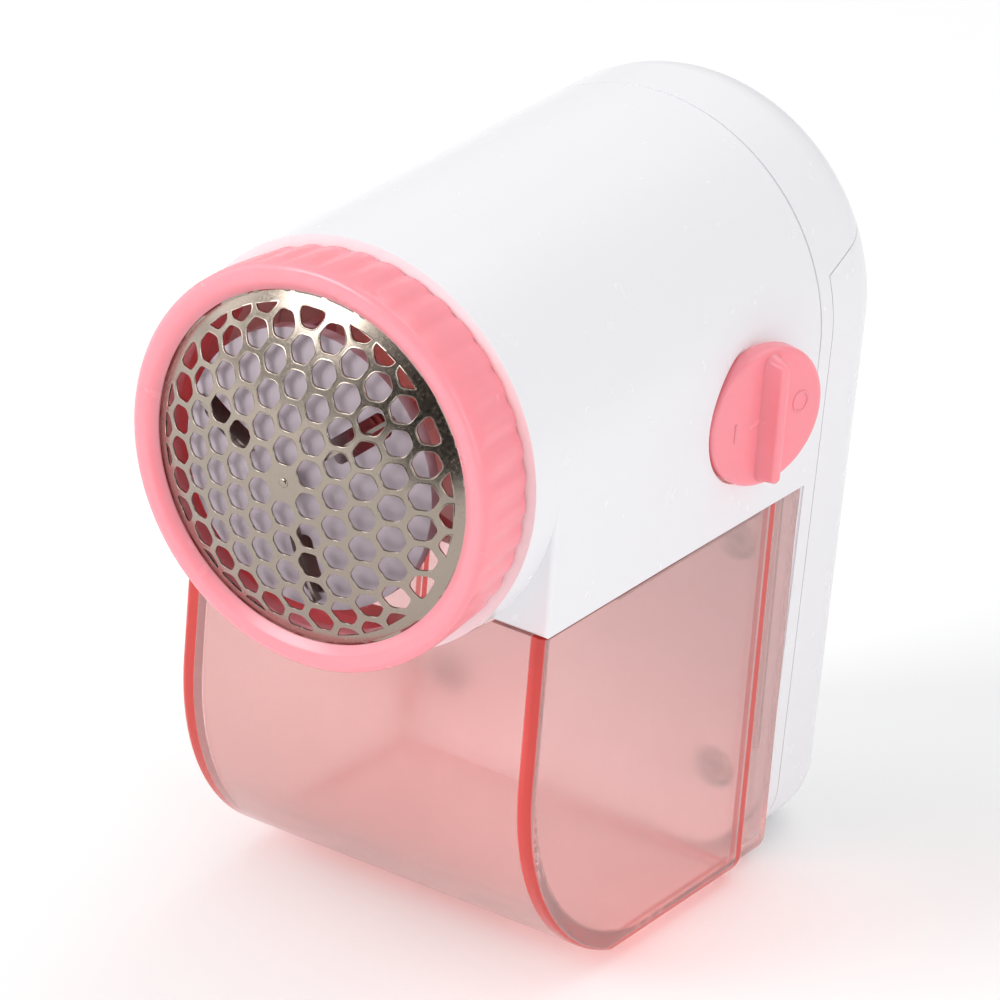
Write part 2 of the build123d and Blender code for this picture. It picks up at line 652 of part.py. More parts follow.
with BuildPart() as motor_magnets:
    with BuildSketch(section(CAN_BACK_Y - 3)):
        motor_outline(MOTOR_R - 0.8, MOTOR_FLAT - 0.8)
        Circle(7.3, mode=Mode.SUBTRACT)
        Rectangle(10, 30, mode=Mode.SUBTRACT)
    extrude(amount=CAN_LENGTH - 7)
finish(motor_magnets, "motor_magnets")

with BuildPart() as motor_armature:
    with BuildSketch(section(CAN_BACK_Y - 4)):
        Circle(6.3)
        with PolarLocations(4.9, 3, start_angle=30):
            Circle(2.0, mode=Mode.SUBTRACT)
        with PolarLocations(6.2, 3, start_angle=30):
            Rectangle(2.0, 1.0, mode=Mode.SUBTRACT)
        Circle(SHAFT_R, mode=Mode.SUBTRACT)
    extrude(amount=CAN_LENGTH - 9)
    with BuildSketch(section(CAP_BACK_Y - 3.0)):
        Circle(2.4)
        Circle(SHAFT_R, mode=Mode.SUBTRACT)
    extrude(amount=CAP_LENGTH + 1.5)
finish(motor_armature, "motor_armature")

with BuildPart() as motor_end_cap:
    with BuildSketch(section(CAP_BACK_Y)):
        motor_outline(MOTOR_R, MOTOR_FLAT)
    extrude(amount=CAP_LENGTH)
    with BuildSketch(section(CAP_BACK_Y - 2.6)):
        motor_outline(MOTOR_R - 1.4, MOTOR_FLAT - 1.4)
    extrude(amount=CAP_LENGTH, mode=Mode.SUBTRACT)
    with BuildSketch(section(CAP_BACK_Y)):
        Circle(SHAFT_R + 0.8)
        with Locations((-5.0, 0), (5.0, 0)):
            Rectangle(0.5, 3.0)
    extrude(amount=CAP_LENGTH, mode=Mode.SUBTRACT)
finish(motor_end_cap, "motor_end_cap")

with BuildPart() as motor_terminals:
    with BuildSketch(section(CAP_BACK_Y + 3.6)):
        with Locations((-5.0, 0), (5.0, 0)):
            Rectangle(0.5, 3.0)
    extrude(amount=6.2)
finish(motor_terminals, "motor_terminals")

# ---------------------------------------------------------------- motor carrier
CARRIER_BACK_Y = MOTOR_Y
BULKHEAD_T = 2.0
FLOOR_H = SKIRT_H + 0.2

with BuildPart() as motor_carrier:
    with BuildSketch(section(CARRIER_BACK_Y)):
        Circle(BARREL_R - WALL - 0.15)
        with Locations((0, -10 + FLOOR_H / 2 + 5)):
            Rectangle(43.0, -FLOOR_H + 10)
        with Locations((0, FLOOR_H - 20)):
            Rectangle(80, 40, mode=Mode.SUBTRACT)
    extrude(amount=BULKHEAD_T)
    # floor that closes the motor bay above the lint collector
    with BuildSketch(Plane.XY.offset(AXIS_Z + FLOOR_H)):
        with Locations((0, (CARRIER_BACK_Y + HANDLE_FRONT_Y) / 2 - 0.2)):
            Rectangle(43.0, HANDLE_FRONT_Y - CARRIER_BACK_Y - 0.4 + 0.2)
    extrude(amount=1.6)
    # saddle under the motor
    with BuildSketch(Plane.XY.offset(AXIS_Z + FLOOR_H + 1.6)):
        with Locations((0, CARRIER_BACK_Y + 6), (0, CAN_BACK_Y - 3)):
            Rectangle(14.0, 2.0)
        with Locations((0, (CARRIER_BACK_Y + CAN_BACK_Y) / 2)):
            Rectangle(2.0, CAN_LENGTH)
    extrude(amount=-FLOOR_H - 1.6 - MOTOR_FLAT)
    with BuildSketch(section(CARRIER_BACK_Y)):
        Circle(3.1)
        with Locations((-8.0, 0), (8.0, 0)):
            Circle(0.85)
        with Locations((-BOSS_X, BOSS_H), (BOSS_X, BOSS_H)):
            Circle(1.15)
    extrude(amount=10, mode=Mode.SUBTRACT)
finish(motor_carrier, "motor_carrier")


def pan_screw(plane, head_r, head_h, shank_r, length):
    """Pan-head screw whose head sits on the plane, its shank running against the normal."""
    with BuildPart() as screw:
        with BuildSketch(plane):
            Circle(head_r)
        extrude(amount=head_h)
        fillet(screw.edges().filter_by(GeomType.CIRCLE).sort_by(SortBy.DISTANCE)[-1], head_h * 0.4)
        with BuildSketch(plane):
            Circle(shank_r)
        extrude(amount=-length)
        with BuildSketch(plane.offset(head_h)):
            Rectangle(head_r * 1.1, head_r * 0.28)
            Rectangle(head_r * 0.28, head_r * 1.1)
        extrude(amount=-head_h * 0.5, mode=Mode.SUBTRACT)
    return screw.part


def screw_set(places, y, head_r, head_h, shank_r, length):
    """Identical screws driven towards +Y from the plane at y."""
    return [pan_screw(Plane(origin=(x, y, AXIS_Z + h), x_dir=(1, 0, 0), z_dir=(0, -1, 0)),
                      head_r, head_h, shank_r, length) for x, h in places]


with BuildPart() as carrier_screws:
    for screw in screw_set(((-BOSS_X, BOSS_H), (BOSS_X, BOSS_H)), MOTOR_Y - BULKHEAD_T, 2.1, 1.3, 1.0, 9.0):
        add(screw)
finish(carrier_screws, "carrier_screws")

with BuildPart() as motor_screws:
    for screw in screw_set(((-8.0, 0), (8.0, 0)), MOTOR_Y - BULKHEAD_T, 1.7, 1.1, 0.8, 2.9):
        add(screw)
finish(motor_screws, "motor_screws")

with BuildPart() as case_screws:
    for screw in screw_set(screw_points, HANDLE_FRONT_Y + 2.2, 2.5, 1.5, 1.2, 10.0):
        add(screw)
finish(case_screws, "case_screws")

# ---------------------------------------------------------------- switch dial
DIAL_SHAFT_R = 3.0
CAM_DEPTH = 9.0            # outer face of the cam, below the dial's face
CAM_T = 3.0
CAM_R = 4.6
LOBE_R = 6.2
SHAFT_DEPTH = 13.6

with BuildPart() as dial_knob:
    with BuildSketch(DIAL.offset(-DIAL_T)):
        Circle(DIAL_R)
    extrude(amount=DIAL_T)
    fillet(dial_knob.faces().sort_by(SortBy.AREA)[-2:].edges().filter_by(GeomType.CIRCLE), 0.5)
    # finger bar across the dial
    with BuildSketch(DIAL.offset(-0.5)):
        SlotOverall(2 * DIAL_R - 1.2, FINGER_BAR_W, rotation=90)
    extrude(amount=0.5 + FINGER_BAR_H)
    # square stem
    with BuildSketch(DIAL.offset(-DIAL_T)):
        Circle(DIAL_SHAFT_R)
    extrude(amount=-3.2)
    with BuildSketch(DIAL.offset(-DIAL_T - 3.2)):
        Rectangle(STEM_SIDE, STEM_SIDE)
    extrude(amount=-6.0)
finish(dial_knob, "dial_knob")

with BuildPart() as switch_cam:
    with BuildSketch(DIAL.offset(-CAM_DEPTH)):
        Circle(CAM_R)
        with Locations((LOBE_R - 1.6, 0)):
            Circle(1.6)
        Rectangle(STEM_SIDE, STEM_SIDE, mode=Mode.SUBTRACT)
    extrude(amount=-CAM_T)
finish(switch_cam, "switch_cam")

LEAF_T = 0.3
LEAF_W = 3.4
LEAF_FRONT_Y = -27.0
LEAF_BACK_Y = -9.5
LEAF_X = 17.0
LOWER_LEAF_Z = 76.0
UPPER_LEAF_Z = 78.2
BLOCK_BACK_Y = -8.0

with BuildPart() as switch_block:
    with BuildSketch(Plane.XY.offset(LOWER_LEAF_Z - 1.6)):
        with Locations((LEAF_X, (LEAF_BACK_Y - 4 + BLOCK_BACK_Y) / 2)):
            Rectangle(5.0, BLOCK_BACK_Y - LEAF_BACK_Y + 4)
    extrude(amount=UPPER_LEAF_Z - LOWER_LEAF_Z + 3.5)
    for z in (LOWER_LEAF_Z, UPPER_LEAF_Z):
        with BuildSketch(Plane.XY.offset(z)):
            with Locations((LEAF_X, (LEAF_FRONT_Y + LEAF_BACK_Y) / 2)):
                Rectangle(LEAF_W, LEAF_BACK_Y - LEAF_FRONT_Y)
        extrude(amount=LEAF_T, mode=Mode.SUBTRACT)
    # arm that carries the block on the casing
    with BuildSketch(Plane.XY.offset(LOWER_LEAF_Z - 1.6)):
        with Locations((LEAF_X + 4.3, BLOCK_BACK_Y - 1.5)):
            Rectangle(3.8, 3.0)
    extrude(amount=3.0)
finish(switch_block, "switch_block")

for z, leaf_name in ((LOWER_LEAF_Z, "switch_leaf_moving"), (UPPER_LEAF_Z, "switch_leaf_fixed")):
    with BuildPart() as leaf:
        with BuildSketch(Plane.XY.offset(z)):
            with Locations((LEAF_X, (LEAF_FRONT_Y + LEAF_BACK_Y) / 2)):
                Rectangle(LEAF_W, LEAF_BACK_Y - LEAF_FRONT_Y)
        extrude(amount=LEAF_T)
        with BuildSketch(Plane.XY.offset(z + LEAF_T)):
            with Locations((LEAF_X, LEAF_FRONT_Y + 2)):
                Circle(0.9)
        extrude(amount=0.35 if z == LOWER_LEAF_Z else -LEAF_T - 0.35)
    finish(leaf, leaf_name)

# ---------------------------------------------------------------- batteries and contacts
for x, cell_name, nub_up in ((-CELL_X, "battery_left", True), (CELL_X, "battery_right", False)):
    body_z = CELL_Z if nub_up else CELL_Z + CELL_NUB
    with BuildPart() as cell:
        with BuildSketch(Plane.XY.offset(body_z)):
            with Locations((x, CELL_Y)):
                Circle(CELL_R)
        extrude(amount=CELL_BODY)
        fillet(cell.edges().filter_by(GeomType.CIRCLE), 0.6)
        with BuildSketch(Plane.XY.offset(body_z + CELL_BODY if nub_up else body_z - CELL_NUB)):
            with Locations((x, CELL_Y)):
                Circle(2.75)
        extrude(amount=CELL_NUB)
    finish(cell, cell_name)

CELL_TOP_Z = CELL_Z + CELL_BODY + CELL_NUB
TOP_CONTACT_Z = BAY_ROOF_Z - CONTACT_T

with BuildPart() as contact_bridge:
    with BuildSketch(Plane.XY.offset(BAY_FLOOR_Z)):
        with Locations((0, CELL_Y)):
            Rectangle(26.0, 7.0)
    extrude(amount=CONTACT_T)
    with BuildSketch(Plane.XY.offset(BAY_FLOOR_Z + CONTACT_T)):
        with Locations((CELL_X, CELL_Y)):
            Circle(2.4)
    extrude(amount=CELL_Z - BAY_FLOOR_Z - CONTACT_T)
finish(contact_bridge, "contact_bridge")

for x, contact_name in ((-CELL_X, "contact_positive"), (CELL_X, "contact_negative")):
    with BuildPart() as contact:
        with BuildSketch(Plane.XY.offset(TOP_CONTACT_Z)):
            with Locations((x, CELL_Y - 0.2)):
                Rectangle(9.0, 2 * (CELL_Y - 0.2 - TAB_Y) + 0.4)
        extrude(amount=CONTACT_T)
        if x < 0:
            with BuildSketch(Plane.XY.offset(TOP_CONTACT_Z)):
                with Locations((x, CELL_Y)):
                    Circle(2.4)
            extrude(amount=CELL_TOP_Z - TOP_CONTACT_Z)
        with BuildSketch(Plane.XY.offset(TOP_CONTACT_Z + CONTACT_T)):
            with Locations((x, TAB_Y)):
                Rectangle(3.0, 0.4)
        extrude(amount=4.4)
    finish(contact, contact_name)


def contact_spring(x, low, high):
    """Closed coil between two heights around a battery's axis."""
    wire, turns, radius = 0.3, 3, 2.9
    height = high - low - 2 * wire - 0.06
    path = Pos(x, CELL_Y, low + wire + 0.03) * Helix(pitch=height / turns, height=height, radius=radius)
    start = Plane(origin=path @ 0, z_dir=path % 0)
    return sweep(start * Circle(wire), path=path, is_frenet=True)


spring_coils = [contact_spring(-CELL_X, BAY_FLOOR_Z + CONTACT_T, CELL_Z),
                contact_spring(CELL_X, CELL_TOP_Z, TOP_CONTACT_Z)]

with BuildPart() as battery_springs:
    for coil in spring_coils:
        add(coil)
finish(battery_springs, "battery_springs")

# ---------------------------------------------------------------- insulated leads
WIRE_R = 0.6
TAB_TOP_Z = BAY_ROOF_Z + 4.4
MOTOR_TAB_Y = CAP_BACK_Y + 3.6

leads = {
    "wire_negative": [(CELL_X, TAB_Y - 0.8, TAB_TOP_Z - 0.7), (CELL_X + 0.5, TAB_Y - 1.5, TAB_TOP_Z + 4),
                      (7.5, -8.0, 71.5), (5.9, -13.0, 73.0), (6.0, MOTOR_TAB_Y - 1.2, 72.6)],
    "wire_motor": [(LEAF_X - 3.2, BLOCK_BACK_Y + 0.7, LOWER_LEAF_Z + 1.0),
                   (LEAF_X - 8.0, BLOCK_BACK_Y + 2.6, 80.5), (4.0, -7.0, 84.5), (-2.0, -10.5, 82.0),
                   (-5.0, -15.0, 76.5), (-6.0, MOTOR_TAB_Y - 1.2, 72.6)],
    "wire_positive": [(-CELL_X, TAB_Y - 0.8, TAB_TOP_Z - 0.7), (-CELL_X, TAB_Y - 0.5, TAB_TOP_Z + 6),
                      (-6.0, 1.5, 79.0), (-1.0, 3.5, 86.5), (7.0, 2.0, 88.0), (13.0, -2.0, 84.0),
                      (LEAF_X + 0.5, BLOCK_BACK_Y + 0.9, 79.5)],
}

for wire_name, points in leads.items():
    with BuildPart() as lead:
        with BuildLine() as route:
            wire_path(points)
        with BuildSketch(Plane(origin=route.wire() @ 0, z_dir=route.wire() % 0)):
            Circle(WIRE_R)
        sweep(path=route.wire())
    print(wire_name, round(lead.part.volume, 2), round(math.pi * WIRE_R ** 2 * route.wire().length, 2))
    finish(lead, wire_name)
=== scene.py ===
"""Looks of the fabric shaver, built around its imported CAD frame. Metres, +Z up, the head faces -Y."""

import json
import math
import random

import bmesh
import bpy
from mathutils import Matrix, Vector


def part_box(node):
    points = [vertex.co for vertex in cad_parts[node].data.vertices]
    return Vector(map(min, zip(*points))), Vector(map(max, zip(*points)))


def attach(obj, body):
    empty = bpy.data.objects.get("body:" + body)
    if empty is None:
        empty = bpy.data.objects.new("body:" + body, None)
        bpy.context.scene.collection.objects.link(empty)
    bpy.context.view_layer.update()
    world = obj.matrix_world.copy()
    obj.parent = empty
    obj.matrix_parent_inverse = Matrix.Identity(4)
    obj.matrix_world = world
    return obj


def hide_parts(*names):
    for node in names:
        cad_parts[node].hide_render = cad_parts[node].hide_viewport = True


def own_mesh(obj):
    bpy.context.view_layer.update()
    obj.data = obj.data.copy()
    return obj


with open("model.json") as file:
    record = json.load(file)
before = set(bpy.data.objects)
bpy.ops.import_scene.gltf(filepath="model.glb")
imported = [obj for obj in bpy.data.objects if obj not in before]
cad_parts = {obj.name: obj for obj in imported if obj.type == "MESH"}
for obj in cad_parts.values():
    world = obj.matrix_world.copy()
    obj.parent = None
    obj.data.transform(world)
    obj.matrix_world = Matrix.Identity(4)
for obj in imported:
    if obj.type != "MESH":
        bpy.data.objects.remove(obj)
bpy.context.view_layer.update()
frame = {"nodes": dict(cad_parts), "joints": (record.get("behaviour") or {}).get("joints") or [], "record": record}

MM = 0.001
TAU = 2 * math.pi

# ---------------------------------------------------------------- places read from the frame
foil_low, foil_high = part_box("foil")
FOIL_THICK = 0.25                    # millimetres
RIM_Y = foil_high.y - FOIL_THICK * MM      # plane of the foil's rim, one thickness in front of its back edge
AXIS_Z = (foil_low.z + foil_high.z) / 2
RIM_CENTRE = Vector((0, RIM_Y, AXIS_Z))
dial_joint = next(j for j in frame["joints"] if j["name"] == "dial_turn")
DIAL_CENTRE = Vector(dial_joint["pos_m"])
DIAL_NORMAL = Vector(dial_joint["axis"]).normalized()
WALL_OUTER_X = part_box("lint_collector")[1].x
COLLECTOR_WALL = 2.3 * MM
WALL_INNER_X = WALL_OUTER_X - COLLECTOR_WALL
LAP_Y = -10.5 * MM                   # the collector's walls step in here, to lap round the handle


# ---------------------------------------------------------------- node helpers
MIX_FACTOR, MIX_FIRST, MIX_SECOND, MIX_COLOUR = 0, 6, 7, 2      # sockets of a Mix node set to RGBA


def link(tree, source, target):
    tree.links.new(source, target)


def add_node(tree, kind, **values):
    """New node, with its inputs or attributes set by name."""
    node = tree.nodes.new(kind)
    for key, value in values.items():
        if key in node.inputs:
            node.inputs[key].default_value = value
        else:
            setattr(node, key, value)
    return node


def noise(tree, scale, detail=2.0, stretch=(1, 1, 1)):
    """Noise over the object's own coordinates, in metres, so it looks the same on every piece."""
    place = tree.nodes.new("ShaderNodeTexCoord")
    mapping = tree.nodes.new("ShaderNodeMapping")
    mapping.inputs["Scale"].default_value = stretch
    texture = add_node(tree, "ShaderNodeTexNoise", Scale=scale, Detail=detail)
    link(tree, place.outputs["Object"], mapping.inputs["Vector"])
    link(tree, mapping.outputs["Vector"], texture.inputs["Vector"])
    return texture.outputs["Fac"]


def spread(tree, source, low, high):
    """Maps a noise's middle range to the values low to high."""
    node = add_node(tree, "ShaderNodeMapRange")
    node.inputs["From Min"].default_value = 0.3
    node.inputs["From Max"].default_value = 0.7
    node.inputs["To Min"].default_value = low
    node.inputs["To Max"].default_value = high
    link(tree, source, node.inputs["Value"])
    return node.outputs["Result"]


def mottle(tree, source, first, second):
    """Two colours mixed by a noise or a ramp."""
    node = add_node(tree, "ShaderNodeMix", data_type="RGBA")
    node.inputs[MIX_FIRST].default_value = (*first, 1)
    node.inputs[MIX_SECOND].default_value = (*second, 1)
    link(tree, source, node.inputs[MIX_FACTOR])
    return node.outputs[MIX_COLOUR]


def bump(tree, source, height, shader):
    node = add_node(tree, "ShaderNodeBump", Strength=1.0, Distance=height)
    link(tree, source, node.inputs["Height"])
    link(tree, node.outputs["Normal"], shader.inputs["Normal"])


def base_material(name, **sockets):
    """Material whose Principled shader has these values set on its own sockets."""
    material = bpy.data.materials.new(name)
    material.use_nodes = True
    shader = material.node_tree.nodes["Principled BSDF"]
    for key, value in sockets.items():
        shader.inputs[key.replace("_", " ")].default_value = value
    return material, material.node_tree, shader


def let_light_through(tree, shader, colour):
    """Lamp light crosses each surface, tinted, so that clear and translucent plastic isn't black inside."""
    path = tree.nodes.new("ShaderNodeLightPath")
    passing = add_node(tree, "ShaderNodeBsdfTransparent", Color=(*colour, 1))
    mix = tree.nodes.new("ShaderNodeMixShader")
    link(tree, path.outputs["Is Shadow Ray"], mix.inputs[0])
    link(tree, shader.outputs["BSDF"], mix.inputs[1])
    link(tree, passing.outputs["BSDF"], mix.inputs[2])
    link(tree, mix.outputs["Shader"], tree.nodes["Material Output"].inputs["Surface"])


def moulded(name, colour, tint, rough, height=0.004 * MM, through=None, **sockets):
    """Injection-moulded plastic: faint flow mottling, uneven gloss and, unless polished, a fine skin."""
    material, tree, shader = base_material(name, **sockets)
    link(tree, mottle(tree, spread(tree, noise(tree, 60, 3), 0, 1), colour, tint), shader.inputs["Base Color"])
    link(tree, spread(tree, noise(tree, 260, 4), rough * 0.94, rough * 1.06), shader.inputs["Roughness"])
    if height:
        bump(tree, noise(tree, 900, 3), height, shader)
    if through:
        let_light_through(tree, shader, through)
    return material


def metal(name, colour, tint, rough, brush=(1, 1, 1), grain=2500, height=0.003 * MM, **sockets):
    """Metal with a fine brushed or rolled grain."""
    material, tree, shader = base_material(name, Metallic=1.0, **sockets)
    link(tree, mottle(tree, spread(tree, noise(tree, 90, 3), 0, 1), colour, tint), shader.inputs["Base Color"])
    link(tree, spread(tree, noise(tree, grain, 4, brush), rough * 0.75, rough * 1.3),
         shader.inputs["Roughness"])
    bump(tree, noise(tree, grain, 4, brush), height, shader)
    return material


def ramp(tree, source, start, end):
    """0 where the source is at start, 1 where it is at end, smooth between."""
    node = add_node(tree, "ShaderNodeMapRange", interpolation_type="SMOOTHSTEP")
    node.inputs["From Min"].default_value = start
    node.inputs["From Max"].default_value = end
    link(tree, source, node.inputs["Value"])
    return node.outputs["Result"]


def maths(tree, operation, first, second=None):
    """One maths step on one or two sockets."""
    node = add_node(tree, "ShaderNodeMath", operation=operation)
    link(tree, first, node.inputs[0])
    if second:
        link(tree, second, node.inputs[1])
    return node.outputs["Value"]


def painted_edge_glow(tree):
    """Mask of the painted glow: 1 where the collector's walls are seen end on, 0 on its open faces. The deep red
    that light gains on its long path through a wall is painted there by position.
    """
    place = tree.nodes.new("ShaderNodeTexCoord")
    apart = tree.nodes.new("ShaderNodeSeparateXYZ")
    link(tree, place.outputs["Object"], apart.inputs["Vector"])
    sideways = maths(tree, "ABSOLUTE", apart.outputs["X"])
    in_wall = maths(tree, "MULTIPLY", ramp(tree, sideways, WALL_INNER_X + 0.1 * MM, WALL_INNER_X + 0.3 * MM),
                    ramp(tree, sideways, WALL_OUTER_X - 0.1 * MM, WALL_OUTER_X - 0.35 * MM))
    before_lap = ramp(tree, apart.outputs["Y"], LAP_Y - 0.1 * MM, LAP_Y - 0.3 * MM)
    lap_line = maths(tree, "MULTIPLY", before_lap,
                     ramp(tree, apart.outputs["Y"], LAP_Y - 1.5 * MM, LAP_Y - 1.2 * MM))
    return maths(tree, "MAXIMUM", maths(tree, "MULTIPLY", in_wall, before_lap), lap_line)


def clear_plastic(name):
    """Transparent pink plastic, coloured by its depth, with a painted deep-red glow where its walls are seen end
    on.
    """
    material, tree, shader = base_material(name, IOR=1.46)
    painted_glow_mask = painted_edge_glow(tree)
    open_face = mottle(tree, spread(tree, noise(tree, 80, 2), 0, 1), (0.885, 0.725, 0.71), (0.895, 0.74, 0.725))
    colour = add_node(tree, "ShaderNodeMix", data_type="RGBA")
    link(tree, painted_glow_mask, colour.inputs[MIX_FACTOR])
    link(tree, open_face, colour.inputs[MIX_FIRST])
    # painted glow: deep red painted into the colour where the walls are seen end on, standing in for the light's
    # long path through them
    colour.inputs[MIX_SECOND].default_value = (0.70, 0.065, 0.055, 1)
    link(tree, colour.outputs[MIX_COLOUR], shader.inputs["Base Color"])
    # less clear under the painted glow, so that its painted deep red shows
    clearness = add_node(tree, "ShaderNodeMapRange")
    clearness.inputs["To Min"].default_value = 0.82
    clearness.inputs["To Max"].default_value = 0.30
    link(tree, painted_glow_mask, clearness.inputs["Value"])
    link(tree, clearness.outputs["Result"], shader.inputs["Transmission Weight"])
    link(tree, spread(tree, noise(tree, 300, 3), 0.13, 0.18), shader.inputs["Roughness"])
    bump(tree, noise(tree, 45, 2), 0.02 * MM, shader)
    let_light_through(tree, shader, (0.95, 0.93, 0.93))
    depth = add_node(tree, "ShaderNodeVolumeAbsorption", Density=85.0)
    depth.inputs["Color"].default_value = (0.92, 0.42, 0.39, 1)
    link(tree, depth.outputs["Volume"], tree.nodes["Material Output"].inputs["Volume"])
    return material


SLOTS = {
    "white_shell": moulded("white_shell", (0.842, 0.838, 0.868), (0.835, 0.832, 0.862), 0.26, height=0),
    "pink_clear": clear_plastic("pink_clear"),
    "pink": moulded("pink", (0.99, 0.305, 0.355), (0.985, 0.30, 0.35), 0.26, height=0,
                    through=(0.96, 0.35, 0.30), Subsurface_Weight=0.5,
                    Subsurface_Radius=(0.003, 0.0008, 0.0008), Subsurface_Scale=1.0),
    "foil_steel": metal("foil_steel", (0.36, 0.305, 0.258), (0.335, 0.285, 0.24), 0.22, height=0.0015 * MM),
    "blade_steel": metal("blade_steel", (0.40, 0.34, 0.31), (0.30, 0.25, 0.22), 0.34),
    # painted shade: the blade carrier is white plastic, and this dim grey-lilac is its look in the shade inside
    # the head
    "lilac_plastic": moulded("lilac_plastic", (0.50, 0.42, 0.47), (0.46, 0.385, 0.435), 0.5),
    "inner_plastic": moulded("inner_plastic", (0.80, 0.80, 0.78), (0.74, 0.74, 0.73), 0.5),
    "spring_steel": metal("spring_steel", (0.55, 0.54, 0.52), (0.48, 0.47, 0.45), 0.28),
    "motor_steel": metal("motor_steel", (0.52, 0.53, 0.55), (0.45, 0.46, 0.48), 0.35, brush=(1, 8, 1)),
    "brass": metal("brass", (0.62, 0.42, 0.15), (0.52, 0.34, 0.12), 0.32),
    "magnet": moulded("magnet", (0.03, 0.03, 0.035), (0.05, 0.05, 0.055), 0.7, height=0.02 * MM),
    "armature": metal("armature", (0.30, 0.16, 0.08), (0.12, 0.10, 0.09), 0.45, brush=(1, 20, 1)),
    "inner_dark": moulded("inner_dark", (0.02, 0.02, 0.02), (0.03, 0.03, 0.03), 0.5),
    "cell_jacket": moulded("cell_jacket", (0.05, 0.12, 0.28), (0.04, 0.10, 0.24), 0.3, Metallic=0.6),
    "wire_black": moulded("wire_black", (0.02, 0.02, 0.02), (0.03, 0.03, 0.03), 0.45),
    "wire_white": moulded("wire_white", (0.75, 0.75, 0.74), (0.68, 0.68, 0.67), 0.45),
    "wire_red": moulded("wire_red", (0.45, 0.02, 0.02), (0.38, 0.02, 0.02), 0.45),
}
for part in frame["record"]["subparts"]:
    for material_slot in frame["nodes"][part["node"]].material_slots:
        material_slot.material = SLOTS[part["material_slot"]]


# ---------------------------------------------------------------- mesh helpers
def seat(x, y, forward):
    """Point of the cutting head: x to the right, y up, forward from the foil's rim, all in millimetres."""
    return Vector((x * MM, RIM_Y - forward * MM, AXIS_Z + y * MM))


def piece_from(name, bm, slot, body, nodes=(), sharp=35, normals=None):
    """Finished piece: material, smooth shading, its body, and the CAD nodes it stands for."""
    if normals is None:
        bmesh.ops.recalc_face_normals(bm, faces=bm.faces)
    mesh = bpy.data.meshes.new(name)
    bm.to_mesh(mesh)
    bm.free()
    mesh.materials.append(SLOTS[slot])
    mesh.polygons.foreach_set("use_smooth", [True] * len(mesh.polygons))
    if normals is None:
        mesh.set_sharp_from_angle(angle=math.radians(sharp))
    else:
        mesh.normals_split_custom_set_from_vertices(normals)
    piece = bpy.data.objects.new(name, mesh)
    bpy.context.scene.collection.objects.link(piece)
    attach(piece, body)
    if nodes:
        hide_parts(*nodes)
    return piece


def rounded(corners, steps=6):
    """Closed outline through corners (x, y, radius), each corner turned into an arc."""
    points = []
    for index, (x, y, radius) in enumerate(corners):
        here = Vector((x, y))
        before = Vector(corners[index - 1][:2]) - here
        after = Vector(corners[(index + 1) % len(corners)][:2]) - here
        if radius == 0:
            points.append(here)
            continue
        half = before.angle(after) / 2
        reach = min(radius / math.tan(half), 0.49 * before.length, 0.49 * after.length)
        centre = here + (before.normalized() + after.normalized()).normalized() * reach / math.cos(half)
        first, last = here + before.normalized() * reach - centre, here + after.normalized() * reach - centre
        sweep = first.angle_signed(last)
        for step in range(steps + 1):
            turn = Matrix.Rotation(-sweep * step / steps, 2)
            points.append(centre + turn @ first)
    return points


def grid_faces(bm, rings, closed=True):
    """Quads between rings of vertices, each ring closed on itself."""
    pairs = list(zip(rings, rings[1:])) + ([(rings[-1], rings[0])] if closed else [])
    for low, high in pairs:
        count = len(low)
        for index in range(count):
            after = (index + 1) % count
            bm.faces.new((low[index], low[after], high[after], high[index]))


def lathe(profile, segments, shape=None):
    """Closed profile of (radius, forward) turned about the spin axis. shape may move a point by its angle."""
    bm = bmesh.new()
    rings = []
    for step in range(segments):
        angle = TAU * step / segments
        ring = []
        for radius, forward in profile:
            if shape:
                radius, forward = shape(radius, forward, angle)
            ring.append(bm.verts.new(seat(radius * math.cos(angle), radius * math.sin(angle), forward)))
        rings.append(ring)
    grid_faces(bm, rings)
    return bm


def capped_loft(bm, outlines, place):
    """Closed solid through outlines given as (points, height), put in its place by the function place."""
    rings = [[bm.verts.new(place(x, y, out)) for x, y in points] for points, out in outlines]
    grid_faces(bm, rings, closed=False)
    bm.faces.new(rings[0])
    bm.faces.new(rings[-1])


def disc_points(radius, count=96):
    """Circle about the middle."""
    return [(radius * math.cos(TAU * k / count), radius * math.sin(TAU * k / count)) for k in range(count)]


# ---------------------------------------------------------------- foil
FOIL_R, FOIL_FLANGE_R, FOIL_SAG = 22.0, 22.9, 5.75       # millimetres, as in the CAD part
DOME_R = (FOIL_R ** 2 + FOIL_SAG ** 2) / (2 * FOIL_SAG)
HOLE_HALF = 1.60           # from a hole's middle to its flat sides
HOLE_CORNER = 0.9
HOLE_PITCH = 4.0
HOLE_FIELD_R = 20.6        # the pattern is cut off at this radius
SLIVER = 1.1               # a cut-off hole may have its centre this far outside
HOLE_TURN = math.radians(2.0)
BAND_RADII = (20.9, 21.3, 21.7, FOIL_R, 22.15, FOIL_FLANGE_R)      # plain band outside the holes
# each step from the web to the hole's edge: growth beyond the hole, lift off the dome, lean of the normal
RIM_STEPS = ((0.20, 0.0, 0.0), (0.11, 0.035, -0.25), (0.03, 0.03, 0.5), (0.0, -0.02, 1.4))


def dome(radius):
    """How far the foil stands in front of its rim at this radius."""
    return math.sqrt(DOME_R ** 2 - min(radius, FOIL_R) ** 2) - DOME_R + FOIL_SAG


def dome_normal(x, y):
    """Outward direction of the foil at this point of its face."""
    if math.hypot(x, y) > FOIL_R:
        return Vector((0, -1, 0))
    return Vector((x, -math.sqrt(DOME_R ** 2 - x * x - y * y), y)).normalized()


